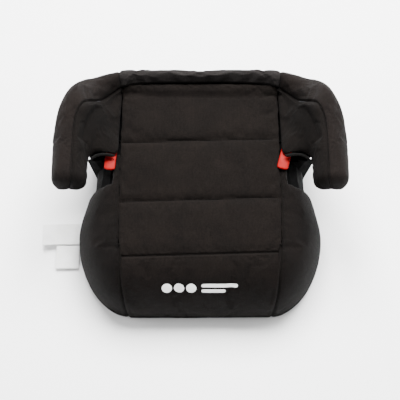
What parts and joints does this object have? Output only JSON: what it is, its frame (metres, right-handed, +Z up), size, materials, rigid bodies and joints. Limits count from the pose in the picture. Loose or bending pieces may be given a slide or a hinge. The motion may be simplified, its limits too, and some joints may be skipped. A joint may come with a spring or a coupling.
{
  "type": "backless booster seat",
  "caption": "Backless child booster seat: moulded shell with raised armrests, foam pads, a sewn fabric cover and a swivelling lap-belt guide at each arm.",
  "frame": {"origin": "middle of the base on the surface that the seat stands on, at the foot of the shell's centre post", "axes": "+Z up, -Y the seat's front, +X the occupant's left arm"},
  "size_m": [0.4715, 0.3656, 0.2],
  "materials": {
    "shell_plastic": "black moulded polypropylene, fine matt grain",
    "foam": "open polyurethane foam",
    "seat_cloth": "black knitted polyester, quilted",
    "side_cloth": "black knitted polyester",
    "band_cloth": "black knitted polyester with a cool cast",
    "binding": "black woven binding tape",
    "guide_plastic": "red moulded plastic",
    "steel": "zinc-plated steel",
    "label_tape": "white satin label tape"
  },
  "bodies": {
    "seat": {"seat_shell": "shell_plastic", "seat_foam": "foam", "arm_foam_left": "foam", "arm_foam_right": "foam", "seat_panel": "seat_cloth", "side_panel_left": "side_cloth", "side_panel_right": "side_cloth", "arm_inner_panel_left": "side_cloth", "arm_inner_panel_right": "side_cloth", "arm_band_left": "band_cloth", "arm_band_right": "band_cloth", "rear_rim_strip": "band_cloth", "outer_side_panel_left": "side_cloth", "outer_side_panel_right": "side_cloth", "back_panel": "side_cloth", "belt_hem_left": "binding", "belt_hem_right": "binding", "guide_screw_left": "steel", "guide_screw_right": "steel", "guide_washer_left": "steel", "guide_washer_right": "steel", "loop_label": "label_tape", "care_label": "label_tape"},
    "guide_left": {"belt_guide_left": "guide_plastic"},
    "guide_right": {"belt_guide_right": "guide_plastic"}
  },
  "joints": [
    {"name": "guide_left_swivel", "type": "hinge", "parent": "seat", "child": "guide_left", "pos_m": [0.135, 0.062, 0.1147], "axis": [0, 0, 1], "range_deg": [-1, 27]},
    {"name": "guide_right_swivel", "type": "hinge", "parent": "seat", "child": "guide_right", "pos_m": [-0.135, 0.062, 0.1147], "axis": [0, 0, 1], "range_deg": [-10, 16]}
  ]
}
